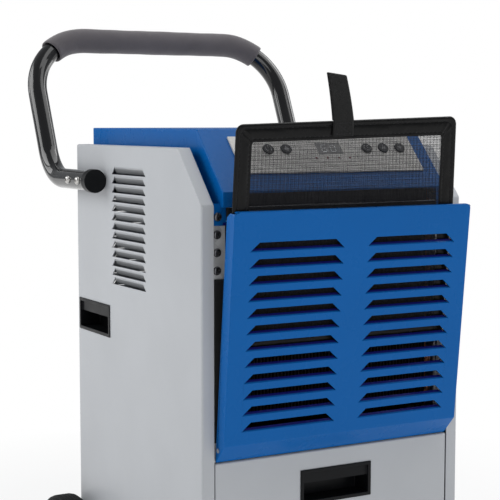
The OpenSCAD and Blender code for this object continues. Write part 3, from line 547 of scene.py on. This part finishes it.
def crinkle(n):
    """How far the vinyl lies off its mean plane at each station, n mm in from the edge. It gathers at the
    corners."""
    gathered = np.exp(-(to_corner / 30) ** 2)
    folds = 0.42 * gathered * np.sin(travel * 0.95 + 2.2 * np.sin(travel / 7.5) + 0.12 * n)
    slack = 0.2 * np.sin(travel / 11.3 + 0.3 * n) + 0.14 * np.sin(travel / 4.7 + 1.7 + 0.2 * n)
    share = min(max((n - PIPING_SEAM) / (HEM - PIPING_SEAM), 0), 1)
    return (folds + slack) * math.sin(math.pi * share) ** 0.6


rings = []
for n, w in section:
    flat_at = outer_path + (inner_path - outer_path) * (n / HEM)
    rings.append(np.stack([flat_at[:, 0], w + crinkle(n), flat_at[:, 1]], 1))
border_points = drawn(np.stack(rings, 1).reshape(-1, 3))
border_faces = rings_to_faces(len(outer_path), len(section), closed_path=True)
border = mesh_piece("filter_border", border_points, border_faces, "filter", "vinyl_black", ["filter_frame"],
                    matrix=IN_GRILLE)


THREAD_SIDES = 4


def thread(points, radius):
    """Points and faces of a thin thread along a line of points, given in millimetres."""
    points = np.array(points, float)
    along = np.gradient(points, axis=0)
    along /= np.linalg.norm(along, axis=1)[:, None]
    other = np.where(np.abs(along[:, 1:2]) > 0.8, [[1.0, 0, 0]], [[0, 1.0, 0]])
    a = np.cross(along, other)
    a /= np.linalg.norm(a, axis=1)[:, None]
    b = np.cross(along, a)
    turns = np.arange(THREAD_SIDES) * 2 * math.pi / THREAD_SIDES
    ring = radius * (np.cos(turns)[None, :, None] * a[:, None] + np.sin(turns)[None, :, None] * b[:, None])
    return (points[:, None] + ring).reshape(-1, 3), rings_to_faces(len(points), THREAD_SIDES)


def threads(lines, radius, uneven=0.0):
    """Many threads as one mesh; uneven is how much their thickness differs from one to the next."""
    points, faces, base = [], [], 0
    for i, line in enumerate(lines):
        p, f = thread(line, radius * (1 + uneven * math.sin(i * 2.4) * math.sin(i * 0.73 + 1)))
        points.append(p)
        faces += [tuple(base + k for k in face) for face in f]
        base += len(p)
    return np.concatenate(points), faces


STITCH_EVERY, STITCH_LENGTH = 4.2, 3.0


def stitch_row(n, depth):
    """Short stitches along the border, n mm in from its edge."""
    line = outer_path + (inner_path - outer_path) * (n / HEM)
    lift = crinkle(n) + depth
    stitches = []
    last = -STITCH_EVERY
    for i, here in enumerate(line):
        if travel[i] - last < STITCH_EVERY:
            continue
        last = travel[i]
        way = line[(i + 1) % len(line)] - here
        way *= STITCH_LENGTH / 2 / max(np.linalg.norm(way), 1e-6)
        stitches.append([(here[0] - way[0], lift[i] + 0.25, here[1] - way[1]), (here[0], lift[i], here[1]),
                         (here[0] + way[0], lift[i] + 0.25, here[1] + way[1])])
    return stitches


stitches = stitch_row(HEM_SEAM, 1.8) + stitch_row(PIPING_SEAM, 1.6) + stitch_row(HEM_SEAM, 3.2)
points, faces = threads(stitches, 0.26)
mesh_piece("filter_border_stitching", drawn(points), faces, "filter", "vinyl_black", matrix=IN_GRILLE,
           look=webbing("sewing_thread", (0.03, 0.03, 0.032, 1)))

# Net: two layers of fine threads laid across each other, held in the hem all round
NET_PITCH, NET_R, IN_HEM = 1.25, 0.29, 1.2
half_net = FILTER_W / 2 - HEM + IN_HEM
net_low, net_high = HEM - IN_HEM, FILTER_H - HEM + IN_HEM
net_lines = []
for i in range(int(2 * half_net / NET_PITCH) + 1):
    x = -half_net + i * NET_PITCH
    z = np.linspace(net_low, net_high, 14)
    net_lines.append(np.stack([x + 0.09 * np.sin(z / 23 + i * 1.7), 2.32 + 0.06 * np.sin(z / 31 + i), z], 1))
for i in range(int((net_high - net_low) / NET_PITCH) + 1):
    z = net_low + i * NET_PITCH
    x = np.linspace(-half_net, half_net, 14)
    net_lines.append(np.stack([x, 2.68 + 0.06 * np.sin(x / 29 + i), z + 0.09 * np.sin(x / 21 + i * 2.3)], 1))
points, faces = threads(net_lines, NET_R, uneven=0.35)
net = mesh_piece("filter_net", drawn(points), faces, "filter", "mesh_black", ["filter_mesh"], smooth=False,
                 matrix=IN_GRILLE)

# Strap: one length of webbing, sewn to the front of the border, folded over and brought down behind it
STRAP_X, STRAP_W, STRAP_UP, STRAP_TAIL = -12.2, 27.0, 49.2, 17
STRAP_STEP, FOLD_R = 0.48, 0.85


def strap_line():
    """Middle line of the webbing as (depth, height), from the sewn tail up, over the fold and down."""
    top = FILTER_H + STRAP_UP
    turns = np.linspace(0.25, math.pi - 0.25, 9)
    line = [(0.1 - FOLD_R, z) for z in np.arange(FILTER_H - STRAP_TAIL, top, STRAP_STEP)]
    line += [(0.1 - FOLD_R * math.cos(a), top + FOLD_R * math.sin(a)) for a in turns]
    line += [(0.1 + FOLD_R, z) for z in np.arange(top, FILTER_H + 0.6, -STRAP_STEP)]
    return np.array(line)


def strap():
    """Points and faces of the webbing, ribbed across and thin at its edges, and its length. It leans, bows
    and twists a little above the border."""
    line = strap_line()
    away = np.gradient(line, axis=0)
    away /= np.linalg.norm(away, axis=1)[:, None]
    normal = np.stack([-away[:, 1], away[:, 0]], 1)
    length = np.concatenate([[0], np.cumsum(np.linalg.norm(np.diff(line, axis=0), axis=1))])
    across = np.linspace(-STRAP_W / 2, STRAP_W / 2, 19)
    points = []
    for i, (w, z) in enumerate(line):
        rib = 0.52 + 0.13 * abs(math.sin(math.pi * length[i] / 1.9))
        rise = max(z - FILTER_H, 0) / 28
        held = min(rise, 1.8)
        lean = -5.6 * rise - 0.6 * rise * rise
        bow = 0.42 * math.sin(1.75 * held)
        for side, order in ((1, across), (-1, across[::-1])):
            for u in order:
                edge = min(1.0, 0.55 + (STRAP_W / 2 - abs(u)) / 3)
                half = rib * edge * side
                points.append((STRAP_X + u * (1 - 0.012 * rise) + lean,
                               w + half * normal[i, 0] - bow + 0.05 * held * u,
                               z + half * normal[i, 1] - 0.08 * held * u))
    return points, rings_to_faces(len(line), 2 * len(across)), float(length[-1])


strap_points, strap_faces, strap_length = strap()
strap_piece = mesh_piece("filter_pull", drawn(strap_points), strap_faces, "filter", "webbing_black",
                         ["filter_strap"], matrix=IN_GRILLE)

# A box of stitches with a cross in it holds the strap's tail
box_x, box_low, box_high = 9.5, FILTER_H - 14.5, FILTER_H - 2.5
seam = []
for (x0, z0), (x1, z1) in (((-box_x, box_low), (box_x, box_low)), ((-box_x, box_high), (box_x, box_high)),
                           ((-box_x, box_low), (-box_x, box_high)), ((box_x, box_low), (box_x, box_high)),
                           ((-box_x, box_low), (box_x, box_high)), ((-box_x, box_high), (box_x, box_low))):
    count = max(2, round(math.dist((x0, z0), (x1, z1)) / 3))
    for j in range(count):
        a, b = j / count, (j + 0.72) / count
        seam.append([(STRAP_X + x0 + (x1 - x0) * t, -1.38, z0 + (z1 - z0) * t) for t in (a, (a + b) / 2, b)])
points, faces = threads(seam, 0.3)
mesh_piece("filter_pull_stitching", drawn(points), faces, "filter", "webbing_black", matrix=IN_GRILLE,
           look=bpy.data.materials["sewing_thread"])


# ---------- Foam sleeve ----------

# Middle line of the handle's tube: its sides, its bar, the bends between them and the foot of its lean
HANDLE_X, BAR_Y, BAR_Z, CORNER_R = 187.1, 474.0, 738.6, 80.0
FOOT_Y, FOOT_Z = 391.0, 556.5
LEAN = math.atan2(BAR_Y - FOOT_Y, BAR_Z - FOOT_Z)
# The sleeve's radii, how far it goes round each bend, and the points in a ring of it
SLEEVE_R, BORE_R, ROUND_BEND, SLEEVE_SIDES = 16.35, 12.75, math.radians(39), 56


def foam_rings():
    """Rings of the sleeve, out along its skin and back through its bore."""
    half_bar = HANDLE_X - CORNER_R
    reach = half_bar + CORNER_R * ROUND_BEND
    stations = np.linspace(-reach, reach, 121)
    turns = np.arange(SLEEVE_SIDES) * 2 * math.pi / SLEEVE_SIDES

    def ring(s, radius):
        """A ring s mm along the tube from the middle of the bar; the skin is a little lumpy."""
        over = max(abs(s) - half_bar, 0) / CORNER_R
        side = math.copysign(1, s)
        x = side * (min(abs(s), half_bar) + CORNER_R * math.sin(over))
        t = CORNER_R * (1 - math.cos(over))
        points = []
        for a in turns:
            lump = 0.14 * math.sin(s / 17 + 2 * a) + 0.1 * math.sin(s / 6.1 + 3 * a + 1)
            r = radius + (lump if radius > 15 else 0)
            inwards = r * math.cos(a)
            px = x - side * math.sin(over) * inwards
            pt = t + math.cos(over) * inwards
            pn = r * math.sin(a)
            points.append(at(px, BAR_Y - pt * math.sin(LEAN) + pn * math.cos(LEAN),
                             BAR_Z - pt * math.cos(LEAN) - pn * math.sin(LEAN)))
        return points

    # The cut ends, as (distance in from the end, radius), outside and inside
    rim, mouth = [(0.25, 16.1), (0, 15.4)], [(0, 14.6), (0.5, 14.1), (7, 13.5)]
    rings = [ring(inset - reach, r) for inset, r in reversed(rim)]
    rings += [ring(s, SLEEVE_R) for s in stations[1:-1]]
    rings += [ring(reach - inset, r) for inset, r in rim + mouth]
    rings += [ring(s, BORE_R) for s in stations[-6:5:-4]]
    rings += [ring(inset - reach, r) for inset, r in reversed(mouth)]
    return rings


rings = foam_rings()
foam_faces = rings_to_faces(len(rings), SLEEVE_SIDES, closed_path=True)
foam = mesh_piece("handle_grip_foam", [p for r in rings for p in r], foam_faces, "cabinet", "foam",
                  ["handle_foam"])


# ---------- Dark strips on the front frame: painted shade behind the grille ---

SHADE_STRIP_Y, SHADE_STRIP_HALF, SHADE_STRIP_SIDES = 4, 0.95, 20


def signed_power(value, power):
    """A power that keeps the sign, for a section between a circle and a box."""
    return math.copysign(abs(value) ** power, value)


def painted_shade_strip(name, start, end, width):
    """A dark strip, 2 mm thick and shaped like self-adhesive foam, that is painted shade on the frame from
    (x, z) to (x, z) in millimetres.
    """
    length = math.dist(start, end)
    way = np.array([end[0] - start[0], end[1] - start[1]]) / length
    side = np.array([-way[1], way[0]])
    points = []
    count = round(length / 4)
    for i in range(count + 1):
        along = length * i / count
        swell = 1 + 0.05 * math.sin(along / 9) + 0.03 * math.sin(along / 3.7)
        half = width / 2 * (1 + 0.012 * math.sin(along / 13))
        for j in range(SHADE_STRIP_SIDES):
            a = 2 * math.pi * j / SHADE_STRIP_SIDES
            depth = signed_power(math.sin(a), 0.45) * SHADE_STRIP_HALF
            x, z = np.array(start) + way * along + side * signed_power(math.cos(a), 0.35) * half
            points.append(at(x, SHADE_STRIP_Y - depth * (swell if depth > 0 else 1), z))
    obj = mesh_piece(name, points, rings_to_faces(count + 1, SHADE_STRIP_SIDES), "cabinet", "rubber_black")


# Painted shade: dark strips down both sides of the frame and along its top rail, where it lies in shade
# behind the grille
SHADE_STRIP_X, SHADE_STRIP_LOW, SHADE_STRIP_HIGH, SHADE_STRIP_TOP = 148.5, 280, 459, 529
painted_shade_strip("frame_shade_strip_left", (-SHADE_STRIP_X, SHADE_STRIP_LOW), (-SHADE_STRIP_X, SHADE_STRIP_HIGH), 12.6)
painted_shade_strip("frame_shade_strip_right", (SHADE_STRIP_X, SHADE_STRIP_LOW), (SHADE_STRIP_X, SHADE_STRIP_HIGH), 12.6)
painted_shade_strip("frame_shade_strip_top", (-140, SHADE_STRIP_TOP), (140, SHADE_STRIP_TOP), 13.5)


# ---------- Screw and bolt heads, display and button marks ----------

def islands(data):
    """The separate solids of a mesh, each as an array of its points."""
    bm = welded(data)
    bm.verts.index_update()
    seen_verts, found = set(), []
    for start in bm.verts:
        if start.index in seen_verts:
            continue
        seen_verts.add(start.index)
        queue, members = [start], []
        while queue:
            vert = queue.pop()
            members.append(tuple(vert.co))
            for edge in vert.link_edges:
                other = edge.other_vert(vert)
                if other.index not in seen_verts:
                    seen_verts.add(other.index)
                    queue.append(other)
        found.append(np.array(members))
    bm.free()
    return found


def prism(outline, low, high, matrix=Matrix()):
    """Points and faces of a flat outline in millimetres, extruded from low to high along its own z axis."""
    n = len(outline)
    points = [matrix @ Vector((x * MM, y * MM, z * MM)) for z in (low, high) for x, y in outline]
    faces = [tuple(reversed(range(n))), tuple(range(n, 2 * n))]
    faces += [(i, (i + 1) % n, n + (i + 1) % n, n + i) for i in range(n)]
    return points, faces


def joined(parts):
    """Several (points, faces) as one."""
    points, faces = [], []
    for p, f in parts:
        faces += [tuple(len(points) + i for i in face) for face in f]
        points += [tuple(q) for q in p]
    return points, faces


HEXAGON = [(2 * math.cos(math.pi * i / 3), 2 * math.sin(math.pi * i / 3)) for i in range(6)]
CROSS = [(-0.45, -2.2), (0.45, -2.2), (0.45, -0.45), (2.2, -0.45), (2.2, 0.45), (0.45, 0.45),
         (0.45, 2.2), (-0.45, 2.2), (-0.45, 0.45), (-2.2, 0.45), (-2.2, -0.45), (-0.45, -0.45)]


def drive_recess(part, axis, outline, depth, far_size, turn):
    """The recess in the outer end of one fastener, given its points. The fasteners lie along one axis. The
    outline is scaled by far_size in those on its far side."""
    low, high = part.min(0), part.max(0)
    place_at = (low + high) / 2
    outwards = math.copysign(1, place_at[axis])
    place_at[axis] = (high if outwards > 0 else low)[axis] - outwards * depth * MM
    way = Vector((0, 0, 0))
    way[axis] = outwards
    facing = way.to_track_quat("Z", "Y").to_matrix().to_4x4() @ Matrix.Rotation(turn, 4, "Z")
    size = far_size if outwards > 0 else 1.0
    return prism([(x * size, y * size) for x, y in outline], 0, depth + 3,
                 Matrix.Translation(Vector(place_at)) @ facing)


def carved(node, axis, outline, depth, far_size, name, look=None):
    """A copy of the fasteners in a node, with the drive recess cut into the outer end of each head."""
    world = nodes[node].matrix_world
    cuts = []
    for i, part in enumerate(islands(nodes[node].data)):
        part = np.array([tuple(world @ Vector(q)) for q in part])
        if np.ptp(part[:, axis]) >= 0.001:
            cuts.append(drive_recess(part, axis, outline, depth, far_size, 0.6 * i))
    points, faces = joined(cuts)
    knife_data = bpy.data.meshes.new("knife")
    knife_data.from_pydata(points, [], faces)
    knife = bpy.data.objects.new("knife", knife_data)
    bm = welded(nodes[node].data)
    blank_data = bpy.data.meshes.new("blank")
    bm.to_mesh(blank_data)
    bm.free()
    blank = bpy.data.objects.new("blank", blank_data)
    blank.matrix_world = world
    for obj in (knife, blank):
        scene.collection.objects.link(obj)
    cut = blank.modifiers.new("cut", "BOOLEAN")
    cut.object = knife
    cut.operation = "DIFFERENCE"
    cut.solver = "EXACT"
    bpy.context.view_layer.update()
    result = bpy.data.meshes.new_from_object(blank.evaluated_get(bpy.context.evaluated_depsgraph_get()))
    for obj in (knife, blank):
        bpy.data.objects.remove(obj)
    result.materials.clear()
    piece = bpy.data.objects.new(name, result)
    piece.matrix_world = world
    place(piece, BODY_OF[node], SLOT_OF[node], [node], look)


screws_black = turned("screws_black", (0.13, 0.13, 0.14, 1), 1, 0.2)
carved("panel_screws", 1, CROSS, 1.1, 0.85, "panel_screw_heads", screws_black)
carved("handle_bolts", 0, HEXAGON, 1.8, 1.0, "handle_bolt_heads")

# The control face, from its lower front edge to its upper rear edge, each as (back, up) in millimetres
FACE_FOOT, FACE_HEAD = (-3.8, 553.5), (58.5, 620.6)
SLOPE = math.atan2(FACE_HEAD[1] - FACE_FOOT[1], FACE_HEAD[0] - FACE_FOOT[0])


def on_face(node):
    """A frame in the middle of a control's outer face: x across, y up the slope, z out of it."""
    up = np.array([0, math.cos(SLOPE), math.sin(SLOPE)])
    out = np.array([0, -math.sin(SLOPE), math.cos(SLOPE)])
    world = nodes[node].matrix_world
    points = np.array([tuple(world @ v.co) for v in nodes[node].data.vertices])
    u, n = points @ up, points @ out
    centre = up * (u.min() + u.max()) / 2 + out * n.max()
    centre[0] = (points[:, 0].min() + points[:, 0].max()) / 2
    return Matrix.Translation(Vector(centre)) @ Matrix.Rotation(SLOPE, 4, "X")


MARK_LIFT = 0.12


def mark(name, node, outlines, look):
    """Thin printed shapes, or figures with a faint painted glow, on a control's outer face."""
    points, faces = joined([prism(outline, -0.3, MARK_LIFT) for outline in outlines])
    mesh_piece(name, points, faces, BODY_OF[node], SLOT_OF[node], smooth=False, matrix=on_face(node),
               look=look)


def bar(x0, y0, x1, y1, width):
    """Outline of a straight stroke."""
    k = width / 2 / math.hypot(x1 - x0, y1 - y0)
    dx, dy = (x1 - x0) * k, (y1 - y0) * k
    return [(x0 + dy, y0 - dx), (x1 + dy, y1 - dx), (x1 - dy, y1 + dx), (x0 - dy, y0 + dx)]


def curve(radius, start, stop, y=0.0):
    """Points of an arc between two angles in degrees."""
    turns = [math.radians(start + (stop - start) * i / 24) for i in range(25)]
    return [(radius * math.cos(a), y + radius * math.sin(a)) for a in turns]


def arc(radius, width, start, stop):
    """Outline of a curved stroke."""
    return curve(radius + width / 2, start, stop) + curve(radius - width / 2, start, stop)[::-1]


def digit(shown_bars, x):
    """The shown bars of a seven-bar figure, lettered a to g clockwise from the top."""
    w, h, stroke, slant = 3.2, 5.0, 1.15, 0.12
    ends = {"a": (-w, h, w, h), "b": (w, h, w, 0), "c": (w, 0, w, -h), "d": (w, -h, -w, -h),
            "e": (-w, -h, -w, 0), "f": (-w, 0, -w, h), "g": (-w, 0, w, 0)}
    shapes = []
    for key in shown_bars:
        x0, y0, x1, y1 = ends[key]
        # Each bar stops short of its ends, so that gaps show between them
        gx, gy = 0.8 * (x1 - x0) / (2 * w), 0.8 * (y1 - y0) / h
        shapes.append(bar(x + x0 + gx + slant * y0, y0 + gy, x + x1 - gx + slant * y1, y1 - gy, stroke))
    return shapes


# The display is off: the faint glow of its figures is painted light
figures = lens("display_figures", (0.42, 0.44, 0.46, 1), 0.25)
printed = moulded("printed_marks", (0.3, 0.3, 0.31, 1), 0.5)
mark("display_digits", "display_window", digit("acdefg", -6.5) + digit("abcdef", 5.5), figures)
mark("power_mark", "power_button", [arc(3.6, 0.9, 120, 420), bar(0, 1.2, 0, 5.0, 0.9)], printed)
drop = [(0, 4.8), (-1.2, 2.4), (-2.6, 0.2)] + curve(2.905, 170, 370, -0.9) + [(2.6, 0.2), (1.2, 2.4)]
mark("mode_mark", "mode_button", [drop], printed)
clock = [arc(3.8, 0.8, 0, 358), bar(0, 0, 0, 2.6, 0.8), bar(0, 0, 1.9, 0, 0.8)]
mark("timer_mark", "timer_button", clock, printed)
mark("up_mark", "up_button", [[(0, 3.2), (-3.2, -2.2), (3.2, -2.2)]], printed)
mark("down_mark", "down_button", [[(0, -3.2), (3.2, 2.2), (-3.2, 2.2)]], printed)


# ---------- Camera, floor and light ----------

scene.view_settings.view_transform = "Standard"

AZIMUTH = math.radians(-29.417)
PITCH = math.radians(5.332)
back = Vector((math.sin(AZIMUTH) * math.cos(PITCH), -math.cos(AZIMUTH) * math.cos(PITCH), math.sin(PITCH)))
camera_data = bpy.data.cameras.new("camera")
camera_data.lens = 98.88
camera_data.sensor_width = 36
camera_data.clip_start = 0.05
camera = bpy.data.objects.new("camera", camera_data)
camera.location = at(-842.66, -1294.20, 628.28)
camera.rotation_euler = back.to_track_quat("Z", "Y").to_euler()
scene.collection.objects.link(camera)
scene.camera = camera


def floor_material():
    """Pale floor that fades into the white surround away from the object."""
    s = Shader("floor_pale", Roughness=0.9)
    s.tone((0.82, 0.82, 0.82, 1), 0.012, 3)
    reach = s.add("VectorMath", {0: s.position}, operation="LENGTH").outputs["Value"]
    fade = s.spread(reach, 0.45, 1.0, 0.3, 1.1)
    glow = s.add("Emission", {"Color": (1, 1, 1, 1), "Strength": 1.0})
    mixed = s.add("MixShader", {0: fade, 1: s.bsdf.outputs[0], 2: glow.outputs[0]})
    out = next(n for n in s.tree.nodes if n.type == "OUTPUT_MATERIAL")
    s.tree.links.new(mixed.outputs[0], out.inputs["Surface"])
    return s.material


bm = bmesh.new()
bmesh.ops.create_circle(bm, cap_ends=True, segments=96, radius=30)
floor_data = bpy.data.meshes.new("floor")
bm.to_mesh(floor_data)
bm.free()
floor = bpy.data.objects.new("floor", floor_data)
floor.location.z = -0.0002
floor.data.materials.append(floor_material())
scene.collection.objects.link(floor)


def studio_world():
    """White behind the object, and a dim cool sky that lights it."""
    made = bpy.data.worlds.new("studio")
    made.use_nodes = True
    tree = made.node_tree
    tree.nodes.clear()
    backdrop, sky = (tree.nodes.new("ShaderNodeBackground") for _ in range(2))
    backdrop.inputs["Color"].default_value = (1, 1, 1, 1)
    sky.inputs["Color"].default_value = (0.93, 0.96, 1.0, 1)
    sky.inputs["Strength"].default_value = 0.3
    path = tree.nodes.new("ShaderNodeLightPath")
    both = tree.nodes.new("ShaderNodeMixShader")
    out = tree.nodes.new("ShaderNodeOutputWorld")
    for source, socket in ((path.outputs["Is Camera Ray"], both.inputs[0]), (sky.outputs[0], both.inputs[1]),
                           (backdrop.outputs[0], both.inputs[2]), (both.outputs[0], out.inputs["Surface"])):
        tree.links.new(source, socket)
    return made


def softbox(name, location, target, width, height, power):
    """A soft area light that faces its target."""
    data = bpy.data.lights.new(name, "AREA")
    data.shape = "RECTANGLE"
    data.size, data.size_y = width, height
    data.energy = power
    lamp = bpy.data.objects.new(name, data)
    lamp.location = location
    lamp.rotation_euler = (Vector(location) - Vector(target)).to_track_quat("Z", "Y").to_euler()
    scene.collection.objects.link(lamp)


scene.world = studio_world()
middle = (0, 0, 0.4)
softbox("key_left", (-1.7, 0.75, 1.5), (-0.1, 0.15, 0.6), 1.2, 1.2, 18)
softbox("fill_front", (-0.5, -2.9, 1.1), middle, 1.3, 1.5, 11)
softbox("rim_right", (2.0, 0.4, 1.2), middle, 0.8, 1.8, 14)
softbox("top", (0.9, -0.1, 2.4), middle, 2.2, 2.2, 30)
softbox("back_left", (-1.5, 2.0, 1.5), middle, 0.6, 1.4, 6)
